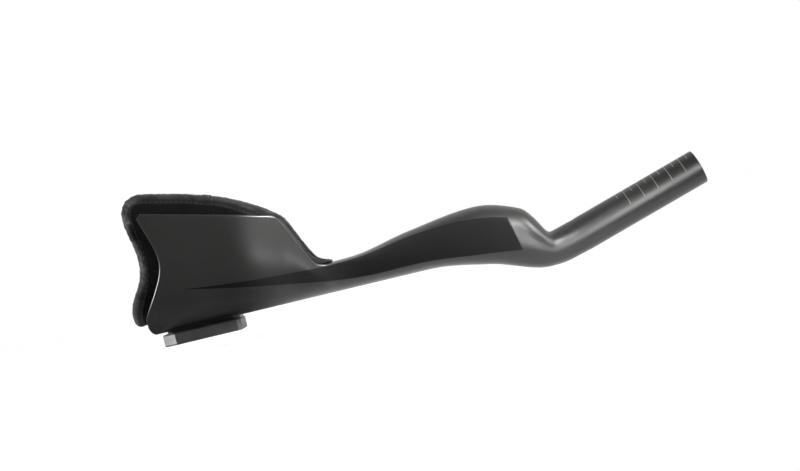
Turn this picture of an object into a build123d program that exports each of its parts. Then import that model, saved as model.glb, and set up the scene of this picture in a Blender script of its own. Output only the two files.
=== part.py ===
from build123d import *

import os
from math import cos, pi, radians, sin, tan

# Aero handlebar extension: a moulded carbon forearm cradle that runs forward into a palm hump
# and a round tube, with a bound foam pad held in the cradle by hook tape and a spacer plate
# screwed under it. Millimetres. +X points forward along the extension and +Z up, away from the plate.
# The origin is the middle of the bolt pattern on the plate's underside. Shell heights are measured
# up from the cradle's underside.

# Spacer plate
plate_rear_reach = 26.6
plate_front_reach = 23.6
plate_width = 42.0
plate_thickness = 7.5
plate_rear_chamfer = 8.5
plate_front_chamfer = 2.6
plate_edge_break = 0.7

# Bolt holes in the plate for the riser below it, tapped M5
riser_spacing_x = 24.0
riser_spacing_y = 26.0
riser_hole_diameter = 4.2

# Countersunk M5 screws that hold the plate to the cradle floor
screw_spacing = 33.0
screw_diameter = 5.0
screw_length = 11.5
screw_head_diameter = 9.6
screw_socket_across = 3.0
screw_socket_depth = 2.0
screw_tip_chamfer = 0.6
screw_clearance = 0.15
screw_head_recess = 0.2
thread_gap = 0.03

# Landing boss moulded under the cradle
boss_length = 46.8
boss_width = 30.0
boss_height = 1.3
boss_radius = 6.0
boss_sink = 2.0

# Cradle shell
cradle_width = 97.0
cradle_wall = 2.4
floor_thickness = 5.0
squareness = 2.8
taper_start = 30.0
rim_height = 69.8
rim_slope = 13.9
drop_start = 58.0
drop_length = 22.5
floor_ramp_start = 45.0
floor_ramp_end = 88.0

# Rear edge of the shell, seen from the side
rear_top_x = -21.2
rear_top_height = 72.0
rear_scoop_x = -14.3
rear_scoop_height = 42.5
rear_low_x = -31.8
rear_low_height = 10.7
rear_top_lean = 15.0
rear_low_lean = 33.0
rear_lip_rise = 4.6
rear_lip_run = 0.5
rear_lip_out = 0.5
rear_cut_below = 2.0
rear_corner_run = 5.0
rear_edge_break = 0.5

# Neck, palm hump and belly of the closed beam
neck_x = 100.0
neck_width = 34.0
neck_height = 19.4
neck_dip = 0.6
hump_x = 181.0
hump_width = 34.8
hump_height = 31.8
hump_front_x = 209.0
hump_front_width = 31.2
hump_front_height = 24.2
belly_start = 145.0
belly_x = 221.0
belly_depth = 16.4
belly_blend = 2.0
belly_lead = 0.1
hump_foot_x = 226.0
hump_side_foot_x = 231.0
hump_foot_height = 0.4
hump_foot_swell = 0.8
valley_blend = 2.2
beam_roundness = 2.35
beam_wall = 2.0
shoulder_low_x = 141.0
thick_start_x = 195.0
thick_full_x = 213.0
thick_end_x = 224.0
thin_again_x = 237.0
round_start_x = 203.0
round_end_x = 239.0
lean_start = 185.0

# Round tube for the control at the front
tube_diameter = 22.2
tube_bore = 18.8
tube_rise = 16.66
tube_start_x = 241.0
tube_start_height = -1.65
tube_length = 87.7
tube_lead = 5.0
tube_bore_depth = 82.7
tube_edge_break = 0.4
tube_step = 0.15
bore_step = 0.4

# Foam pad, its binding and the hook tape behind it
pad_thickness = 9.0
pad_toe_thickness = 3.0
pad_taper_start = 48.0
pad_taper_end = 78.0
pad_proud = [
    (-30, 12.0),
    (10, 12.6),
    (35, 10.8),
    (50, 6.4),
    (60, 0.8),
    (66, 0.3),
    (76, 2.4),
    (82, 3.8),
    (87, 2.0),
]
pad_lap = 2.6
pad_lap_start = 50.0
pad_lap_end = 62.0
pad_overhang = 9.4
pad_low_overhang = 8.6
pad_scoop_fill = 2.6
pad_scoop_rise = 2.0
pad_low_fall = 2.0
pad_rear_straight = 17.6
pad_toe_x = 86.5
pad_toe_gap = 0.4
pad_toe_fall = 1.1
pad_corner_radius = 12.5
band_least_wall = 2.0
band_blend = 3.0
band_spare = 5.0
binding_width = 5.2
tape_thickness = 1.2
tape_gap = 0.25
tape_wall_x = 8.0
tape_wall_length = 36.0
tape_wall_height = 24.0
tape_wall_level = 34.0
tape_floor_length = 18.0
tape_floor_width = 26.0

# Places worked out from the sizes above
underside = plate_thickness + boss_height
floor_level = underside + floor_thickness
rim_radius = cradle_wall / 2
drop_end = drop_start + drop_length
tube_axis = Vector(cos(radians(tube_rise)), 0, sin(radians(tube_rise)))
tube_start = Vector(tube_start_x, 0, underside + tube_start_height)
tube_rise_radius = tube_diameter / 2 / cos(radians(tube_rise))
well_above = 2 * (underside + rim_height)
well_wide = cradle_width
u_steps = 16
rim_steps = 6

screw_places = (-screw_spacing / 2, screw_spacing / 2)

# Stations along X where sections are drawn, close together where the shape changes quickly.
# Those of the pad and the tape are evenly spaced.
cradle_stations = [-44, -34, -24, -14, -4, 6, 16, 25, 33, 40, 46, 51, 55.5, 59.5, 63]
cradle_stations += [66, 69, 72, 75, 78, 81.5]
beam_stations = [85.5, 90, 95, 101, 108, 116, 125, 134, 143, 152, 161, 170, 178.5, 186, 192.5, 198, 203]
beam_stations += [207.5, 211.5, 215.5, 219, 222.5, 226, 229.5, 233, 237]
band_steps = 24
band_pitch = (beam_stations[1] - cradle_stations[0]) / band_steps
band_stations = [cradle_stations[0] + n * band_pitch for n in range(band_steps + 1)]
pad_outline_stations = [-12, 0, 14, 28, 40, 50, 57, 63, 68, 72.5, 77, 81, 84]


def ease(value, start, end):
    """0 before start, 1 after end, and a smooth step between them."""
    share = min(1.0, max(0.0, (value - start) / (end - start)))
    return share * share * (3 - 2 * share)


def through(points, x):
    """Value at x of a smooth line through (x, value) points that never overshoots them."""
    runs = [b[0] - a[0] for a, b in zip(points, points[1:])]
    rates = [(b[1] - a[1]) / run for a, b, run in zip(points, points[1:], runs)]
    slopes = [rates[0]]
    for before, after in zip(rates, rates[1:]):
        slopes.append(0.0 if before * after <= 0 else 2 * before * after / (before + after))
    slopes.append(rates[-1])
    x = min(max(x, points[0][0]), points[-1][0])
    i = next(n for n, run in enumerate(runs) if x <= points[n + 1][0])
    t = (x - points[i][0]) / runs[i]
    start = points[i][1] * (1 + 2 * t) * (1 - t) ** 2 + slopes[i] * runs[i] * t * (1 - t) ** 2
    end = points[i + 1][1] * t * t * (3 - 2 * t) - slopes[i + 1] * runs[i] * t * t * (1 - t)
    return start + end


def half_width(x):
    """Half the shell's width: the cradle narrows to the neck, swells at the hump and ends at the tube."""
    if x <= neck_x:
        return (cradle_width + (neck_width - cradle_width) * ease(x, taper_start, neck_x)) / 2
    widths = [
        (neck_x, neck_width),
        (hump_x, hump_width),
        (hump_front_x, hump_front_width),
        (hump_side_foot_x, tube_diameter + hump_foot_swell),
        (tube_start_x, tube_diameter),
    ]
    return through(widths, x) / 2


def rim(x):
    """Height of the cradle's rim: a straight slope that drops in an S to the neck."""
    slope = underside + rim_height - tan(radians(rim_slope)) * x
    low = underside + neck_height - neck_dip
    return slope + (low - slope) * ease(x, drop_start, drop_end)


def floor(x):
    """Height of the cradle's floor, which ramps up to the top of the neck."""
    return floor_level + (neck_height - floor_thickness) * ease(x, floor_ramp_start, floor_ramp_end)


def upper_of(one, other, blend):
    """The higher of two levels, with a rounded change from one to the other."""
    return (one + other + ((one - other) ** 2 + blend * blend) ** 0.5) / 2


def tube_level(x, side):
    """Level of the tube's top or bottom line, +1 or -1, carried back along its axis."""
    return tube_start.Z + (x - tube_start_x) * tan(radians(tube_rise)) + side * tube_rise_radius


def bottom(x):
    """Underside of the beam: level, then down to the belly under the hump, then up along the tube."""
    line = [
        (cradle_stations[0], underside),
        (belly_start, underside - belly_lead),
        ((belly_start + belly_x) / 2, underside - 0.36 * belly_depth),
        (belly_x, underside - belly_depth),
        (tube_start_x, underside - belly_depth),
    ]
    return upper_of(through(line, x), tube_level(x, -1), belly_blend)


def top(x):
    """Top of the beam: up over the hump, then steeply down to the valley behind the tube."""
    line = [
        (drop_end, underside + neck_height - neck_dip),
        (neck_x, underside + neck_height),
        (neck_x + 0.45 * (hump_x - neck_x), underside + neck_height + 0.56 * (hump_height - neck_height)),
        (hump_x, underside + hump_height),
        (hump_front_x, underside + hump_front_height),
        (hump_foot_x, underside + hump_foot_height),
        (2 * hump_foot_x - hump_front_x, underside + 2 * hump_foot_height - hump_front_height),
    ]
    return upper_of(through(line, x), tube_level(x, 1), valley_blend)


def shoulder(x):
    """Level of the beam's widest line: near the top at the neck, half way up from the hump on."""
    share = 0.5 + 0.4 * (1 - ease(x, drop_end, shoulder_low_x))
    return bottom(x) + share * (top(x) - bottom(x))


def u_curve(half, high, low, power):
    """Points of a U from +half down to the low middle and up to -half, squarer as power grows."""
    angles = [pi * n / u_steps for n in range(u_steps + 1)]
    across = [half * abs(cos(a)) ** (2 / power) * (1 if cos(a) >= 0 else -1) for a in angles]
    down = [high - (high - low) * abs(sin(a)) ** (2 / power) for a in angles]
    return list(zip(across, down))


def smooth_edge(points, before=None, after=None):
    """Spline through evenly numbered points. It runs on smoothly from a point before the first and
    to a point after the last, and stands upright at an end that has no such point."""
    steps = len(points) - 1
    near = [Vector(*p) for p in points]
    if before:
        first = (near[1] - Vector(*before)) * (steps / 2)
    else:
        first = Vector(0, (near[1] * 4 - near[0] * 3 - near[2]).Y * (steps / 2))
    if after:
        last = (Vector(*after) - near[-2]) * (steps / 2)
    else:
        last = Vector(0, (near[-1] * 3 - near[-2] * 4 + near[-3]).Y * (steps / 2))
    even = [n / steps for n in range(steps + 1)]
    return Edge.make_spline(near, tangents=[first, last], parameters=even, scale=False)


def draw_rim(y, z, radius):
    """Half circle over the rim, from its left side to its right."""
    angles = [pi * n / rim_steps for n in range(rim_steps + 1)]
    return smooth_edge([(y - radius * cos(a), z + radius * sin(a)) for a in angles])


def placed(plane, edges):
    """Face inside a closed run of edges drawn on a plane, each edge kept as it was drawn."""
    return plane * Face(Wire(edges))


def cradle_section(x):
    """Section of the cradle wall: outer U, round rim, inner U, round rim."""
    half = half_width(x)
    turn = rim(x) - rim_radius
    inside = half - cradle_wall
    outer_u = smooth_edge(u_curve(half, turn, underside, squareness))
    left_rim = draw_rim(-half + rim_radius, turn, rim_radius)
    inner_u = smooth_edge(u_curve(inside, turn, floor(x), squareness)[::-1])
    right_rim = draw_rim(half - rim_radius, turn, rim_radius)
    return placed(Plane.YZ.offset(x), [outer_u, left_rim, inner_u, right_rim])


def closed_section(plane, half, high, level, low, power):
    """Closed section in four pieces: lower half, left shoulder, crown, right shoulder."""
    lower = smooth_edge(u_curve(half, level, low, power))
    upper = u_curve(half, level, high, power)[::-1]
    one = u_steps // 4
    two = u_steps - one
    left = smooth_edge(upper[: one + 1], after=upper[one + 1])
    crown = smooth_edge(upper[one : two + 1], before=upper[one - 1], after=upper[two + 1])
    right = smooth_edge(upper[two:], before=upper[two - 1])
    return placed(plane, [lower, left, crown, right])


def lean(x):
    """Angle by which a section leans back, from upright in the hump to square with the tube."""
    return radians(tube_rise) * ease(x, lean_start, tube_start_x)


def reach(x, line):
    """Distance along a leaning section from its widest line to the beam's top or bottom line."""
    distance = line(x) - shoulder(x)
    for _ in range(20):
        distance = (line(x - distance * sin(lean(x))) - shoulder(x)) / cos(lean(x))
    return distance


def beam_section(x, inset):
    """Section of the beam, set in from its outside."""
    plane = Plane((x, 0, shoulder(x)), x_dir=(0, 1, 0), z_dir=(cos(lean(x)), 0, sin(lean(x))))
    high = reach(x, top) - inset
    low = reach(x, bottom) + inset
    power = beam_roundness + (2 - beam_roundness) * ease(x, round_start_x, round_end_x)
    return closed_section(plane, half_width(x) - inset, high, 0, low, power)


def hollow_inset(x):
    """Wall of the beam in its sections, thicker where the hump falls steeply to the valley."""
    steep = ease(x, thick_start_x, thick_full_x) * (1 - ease(x, thick_end_x, thin_again_x))
    return beam_wall * (1 + 0.9 * steep)


def tube_plane(along):
    """Plane square to the tube's axis, a distance along it from the tube's start."""
    return Plane(tube_start + tube_axis * along, x_dir=(0, 1, 0), z_dir=tube_axis)


def tube_section(along, radius):
    """Round section square to the tube's axis."""
    return closed_section(tube_plane(along), radius, radius, 0, -radius, 2)


def base(x):
    """Level that the pad lies on: the cradle's floor, then the top of the neck."""
    return floor(x) if x <= cradle_stations[-1] else top(x)


def band_section(x, outside, thickness):
    """Upright U-shaped band inside the cradle, set in from its wall and floor."""
    half = half_width(x) - cradle_wall - outside
    inside = half - thickness
    low = base(x) + outside
    turn = upper_of(rim(x) - rim_radius, low + thickness + band_least_wall, band_blend)
    high = upper_of(turn + band_blend, pad_top(x) + band_spare, band_blend)
    outer = [(half, high), *u_curve(half, turn, low, squareness), (-half, high)]
    inner = [(-inside, high), *u_curve(-inside, turn, low + thickness, squareness), (inside, high)]
    left = Edge.make_line(outer[-1], inner[0])
    right = Edge.make_line(inner[-1], outer[0])
    return placed(Plane.YZ.offset(x), [smooth_edge(outer), left, smooth_edge(inner), right])


def pad_depth(x):
    """Thickness of the pad, which thins towards its toe."""
    return pad_thickness + (pad_toe_thickness - pad_thickness) * ease(x, pad_taper_start, pad_taper_end)


def pad_gap(x):
    """Distance of the pad from the shell: the hook tape's depth, closing up towards the toe."""
    full = tape_thickness + 2 * tape_gap
    return full + (pad_toe_gap - full) * ease(x, pad_taper_start, pad_taper_end)


def pad_top(x):
    """Height of the pad's edge, which stands above the cradle's rim and laps in front of its S."""
    return rim(x - pad_lap * ease(x, pad_lap_start, pad_lap_end)) + through(pad_proud, x)


def pad_edge_point(x, inset):
    """Point of the pad's top edge in side view, set in square to the edge."""
    slope = Vector(2.0, pad_top(x + 1.0) - pad_top(x - 1.0)).normalized()
    return (x + slope.Y * inset, pad_top(x) - slope.X * inset)


def draw_pad_outline(inset):
    """Side view of the pad: top edge, toe and scooped rear edge, all set in by the same amount."""
    edge = [pad_edge_point(x, inset) for x in pad_outline_stations]
    toe_x = pad_toe_x - inset
    rear_x = rear_top_x - pad_overhang + inset
    rear_high = (rear_x, edge[0][1] + (edge[0][0] - rear_x) * tan(radians(rim_slope)))
    rear_top = (rear_x, rear_high[1] + inset - pad_rear_straight)
    scoop_x = rear_scoop_x - pad_overhang - pad_scoop_fill + inset
    rear_scoop = (scoop_x, underside + rear_scoop_height + pad_scoop_rise)
    rear_low = (rear_low_x - pad_low_overhang + inset, underside + rear_low_height - pad_low_fall)
    Line(rear_high, edge[0])
    Spline(*edge)
    Polyline(edge[-1], (toe_x, edge[-1][1] - pad_toe_fall), (toe_x, 0), (rear_low[0], 0), rear_low)
    Spline(rear_low, rear_scoop, rear_top, tangents=[(0.3, 1), (-0.25, 1)])
    Line(rear_top, rear_high)


def draw_rear_cut():
    """Side view of what is cut away behind the shell's scooped rear edge."""
    high = (rear_top_x + rear_corner_run, underside + rear_top_height + rear_corner_run)
    rear_top = (rear_top_x, underside + rear_top_height)
    rear_scoop = (rear_scoop_x, underside + rear_scoop_height)
    rear_low = (rear_low_x, underside + rear_low_height)
    lip = (rear_low_x - rear_lip_out, underside + rear_lip_rise)
    under = (rear_low_x + rear_lip_run, underside - rear_cut_below)
    far = 2 * cradle_stations[0]
    Line(high, rear_top)
    first = (sin(radians(rear_top_lean)), -cos(radians(rear_top_lean)))
    last = (-sin(radians(rear_low_lean)), -cos(radians(rear_low_lean)))
    Spline(rear_top, rear_scoop, rear_low, tangents=[first, last])
    Polyline(rear_low, lip, under, (far, under[1]), (far, well_above), (high[0], well_above), high)


# Shell: one hollow moulding from the open cradle over the hump to the end of the tube
shell_sections = [cradle_section(x) for x in cradle_stations]
shell_sections += [beam_section(x, 0) for x in beam_stations]
shell_sections += [tube_section(n * tube_lead / 2, tube_diameter / 2 - tube_step) for n in range(3)]
hollow_sections = [beam_section(x, hollow_inset(x)) for x in beam_stations if x >= neck_x]
hollow_sections += [tube_section(n * tube_lead, tube_bore / 2 - bore_step) for n in range(3)]

with BuildPart() as screw_seat:
    with BuildSketch(Plane.XZ):
        with BuildLine():
            hole = screw_diameter / 2 + screw_clearance
            head = screw_head_diameter / 2 + thread_gap
            lift = floor_thickness
            Polyline(
                (0, lift),
                (head + lift, lift),
                (hole, hole - head),
                (hole, -2 * floor_thickness),
                (0, -2 * floor_thickness),
                close=True,
            )
        make_face()
    revolve(axis=Axis.Z)

with BuildPart() as shell:
    loft(shell_sections)
    with BuildSketch(tube_plane(tube_lead / 2)):
        Circle(tube_diameter / 2)
    extrude(amount=tube_length - tube_lead / 2)
    with BuildSketch(Plane.XZ):
        with BuildLine():
            draw_rear_cut()
        make_face()
    extrude(amount=well_wide, both=True, mode=Mode.SUBTRACT)
    outside = shell.faces().sort_by(SortBy.AREA)[-1]
    rear_edges = outside.edges().filter_by(lambda edge: edge.bounding_box().max.X < 0)
    chamfer(rear_edges.filter_by(lambda edge: edge.length > rear_corner_run), rear_edge_break)
    with BuildSketch(Plane.XY.offset(plate_thickness)):
        RectangleRounded(boss_length, boss_width, boss_radius)
    extrude(amount=boss_height + boss_sink)
    loft(hollow_sections, mode=Mode.SUBTRACT)
    with BuildSketch(tube_plane(tube_length)):
        Circle(tube_bore / 2)
    extrude(amount=-tube_bore_depth, mode=Mode.SUBTRACT)
    with Locations(*[(x, 0, floor_level - screw_head_recess) for x in screw_places]):
        add(screw_seat.part, mode=Mode.SUBTRACT)
    tube_mouth = shell.faces().filter_by(GeomType.PLANE).sort_by(Axis(tube_start, tube_axis))[-1]
    chamfer(tube_mouth.edges(), tube_edge_break)

# Spacer plate under the cradle
with BuildPart() as plate:
    with BuildSketch():
        with Locations(((plate_front_reach - plate_rear_reach) / 2, 0)):
            Rectangle(plate_front_reach + plate_rear_reach, plate_width)
        corners = vertices().sort_by(Axis.X)
        chamfer(corners[:2], plate_rear_chamfer)
        chamfer(corners[2:], plate_front_chamfer)
    extrude(amount=plate_thickness)
    chamfer(plate.faces().filter_by(Axis.Z).edges(), plate_edge_break)
    with BuildSketch():
        with GridLocations(riser_spacing_x, riser_spacing_y, 2, 2):
            Circle(riser_hole_diameter / 2)
        with Locations(*[(x, 0) for x in screw_places]):
            Circle(screw_diameter / 2 + thread_gap)
    extrude(amount=plate_thickness, mode=Mode.SUBTRACT)

# One countersunk screw, then a copy at each place
with BuildPart() as screw:
    with BuildSketch(Plane.XZ):
        with BuildLine():
            head = screw_head_diameter / 2
            shank = screw_diameter / 2
            Polyline(
                (0, 0),
                (head, 0),
                (shank, shank - head),
                (shank, screw_tip_chamfer - screw_length),
                (shank - screw_tip_chamfer, -screw_length),
                (0, -screw_length),
                close=True,
            )
        make_face()
    revolve(axis=Axis.Z)
    with BuildSketch():
        RegularPolygon(screw_socket_across / 2, 6, major_radius=False)
    extrude(amount=-screw_socket_depth, mode=Mode.SUBTRACT)

with BuildPart() as plate_screws:
    with Locations(*[(x, 0, floor_level - screw_head_recess) for x in screw_places]):
        add(screw.part)

# Pad blank, cut to its side view, then parted into the padded middle and the binding round its edge
pad_sections = [band_section(x, pad_gap(x), pad_depth(x)) for x in band_stations]

with BuildPart() as pad_blank:
    loft(pad_sections)
    with BuildSketch(Plane.XZ):
        with BuildLine():
            draw_pad_outline(0)
        make_face()
        fillet(vertices().group_by(Axis.Y)[-1], pad_corner_radius)
    extrude(amount=well_wide, both=True, mode=Mode.INTERSECT)

with BuildPart() as pad_core:
    with BuildSketch(Plane.XZ):
        with BuildLine():
            draw_pad_outline(binding_width)
        make_face()
        fillet(vertices().group_by(Axis.Y)[-1], pad_corner_radius - binding_width)
    extrude(amount=well_wide, both=True)

with BuildPart() as pad:
    add(pad_blank.part)
    add(pad_core.part, mode=Mode.INTERSECT)

with BuildPart() as binding:
    add(pad_blank.part)
    add(pad_core.part, mode=Mode.SUBTRACT)

# Hook tape between the cradle and the pad: one piece on the floor and one on each wall
tape_sections = [band_section(x, tape_gap, tape_thickness) for x in band_stations]

with BuildPart() as tape_band:
    loft(tape_sections)

with BuildPart() as tape_floor:
    add(tape_band.part)
    Box(tape_floor_length, tape_floor_width, 2 * well_above, mode=Mode.INTERSECT)

with BuildPart() as tape_left:
    add(tape_band.part)
    with Locations((tape_wall_x, well_wide / 2, underside + tape_wall_level)):
        Box(tape_wall_length, well_wide, tape_wall_height, mode=Mode.INTERSECT)

with BuildPart() as tape_right:
    add(tape_band.part)
    with Locations((tape_wall_x, -well_wide / 2, underside + tape_wall_level)):
        Box(tape_wall_length, well_wide, tape_wall_height, mode=Mode.INTERSECT)

shell.part.label = "extension_shell"
plate.part.label = "spacer_plate"
plate_screws.part.label = "plate_screws"
pad.part.label = "arm_pad"
binding.part.label = "pad_binding"
tape_floor.part.label = "hook_tape_floor"
tape_left.part.label = "hook_tape_left"
tape_right.part.label = "hook_tape_right"

os.makedirs("parts", exist_ok=True)
export_step(shell.part, "parts/extension_shell.step")
export_step(plate.part, "parts/spacer_plate.step")
export_step(plate_screws.part, "parts/plate_screws.step")
export_step(pad.part, "parts/arm_pad.step")
export_step(binding.part, "parts/pad_binding.step")
export_step(tape_floor.part, "parts/hook_tape_floor.step")
export_step(tape_left.part, "parts/hook_tape_left.step")
export_step(tape_right.part, "parts/hook_tape_right.step")
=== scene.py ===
from math import cos, pi, radians, sin, tan

import bpy
import numpy as np
from mathutils import Matrix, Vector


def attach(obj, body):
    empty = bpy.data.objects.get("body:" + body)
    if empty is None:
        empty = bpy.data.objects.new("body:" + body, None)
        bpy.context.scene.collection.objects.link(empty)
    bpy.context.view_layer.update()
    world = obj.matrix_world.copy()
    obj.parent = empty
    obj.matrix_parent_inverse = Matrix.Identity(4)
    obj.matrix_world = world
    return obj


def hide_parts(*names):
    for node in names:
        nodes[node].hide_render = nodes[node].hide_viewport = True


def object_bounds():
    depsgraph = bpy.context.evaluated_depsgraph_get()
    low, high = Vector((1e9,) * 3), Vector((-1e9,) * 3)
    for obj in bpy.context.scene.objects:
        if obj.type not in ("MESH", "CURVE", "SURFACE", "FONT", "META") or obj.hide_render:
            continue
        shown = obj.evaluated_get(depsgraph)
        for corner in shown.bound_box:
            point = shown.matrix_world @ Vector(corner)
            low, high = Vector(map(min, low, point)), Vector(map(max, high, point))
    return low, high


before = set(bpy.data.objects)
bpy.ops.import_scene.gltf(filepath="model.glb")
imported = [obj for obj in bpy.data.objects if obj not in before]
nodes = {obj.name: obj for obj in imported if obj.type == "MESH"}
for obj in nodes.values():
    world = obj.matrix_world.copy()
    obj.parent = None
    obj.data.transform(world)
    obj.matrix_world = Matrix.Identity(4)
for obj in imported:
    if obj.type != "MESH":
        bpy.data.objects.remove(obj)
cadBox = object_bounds()
mm = 0.001
print("frame loaded:", sorted(nodes))


def metres(lengths):
    return [v * mm for v in lengths]


# links an object into the scene, at a spot in mm and with its own X, Y and Z along three directions
def standAt(thing, spot, right, up, back):
    bpy.context.scene.collection.objects.link(thing)
    place = metres(spot)
    rows = [[right[i], up[i], back[i], place[i]] for i in range(3)]
    thing.matrix_world = Matrix(rows + [[0, 0, 0, 1]])


# camera: straight out from the part's right side, rolled so that the extension climbs to the right
cameraSettings = {
    "spot": (131.9, -1250.0, 33.8),  # mm
    "roll": 13.5,                    # degrees
    "lens": 89.3,
    "sensor": 36.0,
    "clip": (0.05, 60.0),            # m
}


def makeCamera(s):
    camera = bpy.data.objects.new("camera", bpy.data.cameras.new("camera"))
    turn = radians(s["roll"])
    right = (cos(turn), 0.0, -sin(turn))
    up = (sin(turn), 0.0, cos(turn))
    standAt(camera, s["spot"], right, up, (0.0, -1.0, 0.0))
    camera.data.sensor_width = s["sensor"]
    camera.data.lens = s["lens"]
    camera.data.clip_start, camera.data.clip_end = s["clip"]
    bpy.context.scene.camera = camera


# node helpers: put() adds a node with its settings and socket values, join() links two sockets, and each
# of the others adds a node, links it up and gives back its result
def put(tree, kind, settings=None, **values):
    node = tree.nodes.new(kind)
    for key, value in (settings or {}).items():
        setattr(node, key, value)
    for key, value in values.items():
        node.inputs[key.replace("_", " ")].default_value = value
    return node


def join(tree, out, into):
    tree.links.new(out, into)


def calc(tree, operation, *terms, clamp=False):
    node = put(tree, "ShaderNodeMath", {"operation": operation, "use_clamp": clamp})
    for socket, term in zip(node.inputs, terms):
        if isinstance(term, (int, float)):
            socket.default_value = term
        else:
            join(tree, term, socket)
    return node.outputs[0]


def ramp(tree, value, low, high, fromLow, fromHigh, smooth=False):
    node = put(tree, "ShaderNodeMapRange", {"interpolation_type": "SMOOTHSTEP" if smooth else "LINEAR"})
    limits = {"From Min": fromLow, "From Max": fromHigh, "To Min": low, "To Max": high}
    for key, number in limits.items():
        node.inputs[key].default_value = number
    join(tree, value, node.inputs["Value"])
    return node.outputs["Result"]


# a Mix node has its colours at inputs 6 and 7 and output 2
def blendColor(tree, share, one, two):
    node = put(tree, "ShaderNodeMix", {"data_type": "RGBA"})
    join(tree, share, node.inputs[0])
    for socket, color in ((node.inputs[6], one), (node.inputs[7], two)):
        if isinstance(color, tuple):
            socket.default_value = (*color, 1)
        else:
            join(tree, color, socket)
    return node.outputs[2]


def blendShader(tree, share, one, two):
    node = put(tree, "ShaderNodeMixShader")
    for socket, out in zip(node.inputs, (share, one, two)):
        join(tree, out, socket)
    return node.outputs[0]


def splitUp(tree, vector):
    node = put(tree, "ShaderNodeSeparateXYZ")
    join(tree, vector, node.inputs[0])
    return node.outputs


def stretched(tree, vector, scale):
    node = put(tree, "ShaderNodeMapping", Scale=scale)
    join(tree, vector, node.inputs["Vector"])
    return node.outputs[0]


def lengthAlong(tree, vector, way):
    node = put(tree, "ShaderNodeVectorMath", {"operation": "DOT_PRODUCT"})
    node.inputs[1].default_value = way
    join(tree, vector, node.inputs[0])
    return node.outputs["Value"]


# where a point is, in metres of its object or of the flat cloth
def bodySpot(tree):
    return put(tree, "ShaderNodeTexCoord").outputs["Object"]


def clothSpot(tree):
    return put(tree, "ShaderNodeUVMap", {"uv_map": "cloth"}).outputs[0]


# floor: paper white for the camera, with a share of it left to real light so a shadow shows. Reflections
# see a dark table with a pale board under the beam and the tube. The table ends in front of the part, so
# that the softboxes there can hang lower than it
stageSettings = {
    "drop": 0.3,                     # mm under the lowest point
    "size": 9.0,                     # m
    "color": (0.80, 0.80, 0.80),
    "shadow": 0.22,
    "glow": 0.90,
    "boardLevel": 1.30,
    "tableLevel": 0.06,
    "tableFront": (-0.060, -0.015),  # m along Y
    "boardRear": (0.020, 0.090),     # m along X
}


def makeFloor(s):
    half = s["size"] / 2
    z = cadBox[0].z - s["drop"] * mm
    corners = [(-half, -half, z), (half, -half, z), (half, half, z), (-half, half, z)]
    mesh = bpy.data.meshes.new("floor")
    mesh.from_pydata(corners, [], [(0, 1, 2, 3)])
    floor = bpy.data.objects.new("floor", mesh)
    bpy.context.scene.collection.objects.link(floor)
    material = bpy.data.materials.new("palePaper")
    material.use_nodes = True
    tree = material.node_tree
    tree.nodes.clear()
    output = put(tree, "ShaderNodeOutputMaterial")
    paths = put(tree, "ShaderNodeLightPath").outputs
    spot = splitUp(tree, bodySpot(tree))

    paper = put(tree, "ShaderNodeBsdfDiffuse", Color=(*s["color"], 1))
    shaded = put(tree, "ShaderNodeBsdfDiffuse", Color=(s["shadow"],) * 3 + (1,))
    glow = put(tree, "ShaderNodeEmission", Strength=s["glow"])
    seen = put(tree, "ShaderNodeAddShader")
    join(tree, shaded.outputs[0], seen.inputs[0])
    join(tree, glow.outputs[0], seen.inputs[1])
    direct = blendShader(tree, paths["Is Camera Ray"], paper.outputs[0], seen.outputs[0])

    past = put(tree, "ShaderNodeBsdfTransparent")
    mirrored = put(tree, "ShaderNodeEmission")
    level = ramp(tree, spot["X"], s["tableLevel"], s["boardLevel"], *s["boardRear"], smooth=True)
    join(tree, level, mirrored.inputs["Strength"])
    table = ramp(tree, spot["Y"], 0, 1, *s["tableFront"], smooth=True)
    mirror = blendShader(tree, table, past.outputs[0], mirrored.outputs[0])

    join(tree, blendShader(tree, paths["Is Glossy Ray"], direct, mirror), output.inputs["Surface"])
    mesh.materials.append(material)
    floor.visible_shadow = False


# room: white for the camera. For light it is pale all round and dimmer on the right side of the part,
# where a studio has its dark end
roomSettings = {"dim": 0.085, "pale": 0.95, "edge": (-0.28, 0.60)}


def makeRoom(s):
    world = bpy.data.worlds.new("studio")
    bpy.context.scene.world = world
    world.use_nodes = True
    tree = world.node_tree
    tree.nodes.clear()
    output = put(tree, "ShaderNodeOutputWorld")
    paths = put(tree, "ShaderNodeLightPath").outputs
    way = splitUp(tree, put(tree, "ShaderNodeTexCoord").outputs["Generated"])
    room = put(tree, "ShaderNodeBackground", Color=(1, 1, 1, 1))
    white = put(tree, "ShaderNodeBackground", Color=(1, 1, 1, 1), Strength=1.0)
    level = ramp(tree, way["Y"], s["dim"], s["pale"], *s["edge"], smooth=True)
    join(tree, level, room.inputs["Strength"])
    seen = blendShader(tree, paths["Is Camera Ray"], room.outputs[0], white.outputs[0])
    join(tree, seen, output.inputs["Surface"])


# softboxes: where each hangs and what it faces in mm, its width and height in mm, how wide its grid lets
# it shine in degrees, and its watts
lampSettings = {
    "keyBox": {"spot": (348, -456, 12), "aim": (285, 0, 20),
               "size": (130, 400), "spread": 50, "watts": 0.25},
    "wallBox": {"spot": (470, -450, -125), "aim": (47, -42, 40),
                "size": (240, 150), "spread": 36, "watts": 0.036},
    "rimBox": {"spot": (800, -306, 470), "aim": (40, -30, 45),
               "size": (160, 160), "spread": 12, "watts": 0.17},
    "creaseBox": {"spot": (465, -722, 502), "aim": (222, -12, 10),
                  "size": (90, 160), "spread": 8, "watts": 0.065},
    "sparkBox": {"spot": (800, -306, 470), "aim": (150, 0, 30),
                 "size": (200, 200), "spread": 120, "watts": 1.2},
    "rearBox": {"spot": (-850, -110, 250), "aim": (0, 0, 40),
                "size": (300, 260), "spread": 120, "watts": 4.8},
}


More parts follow.
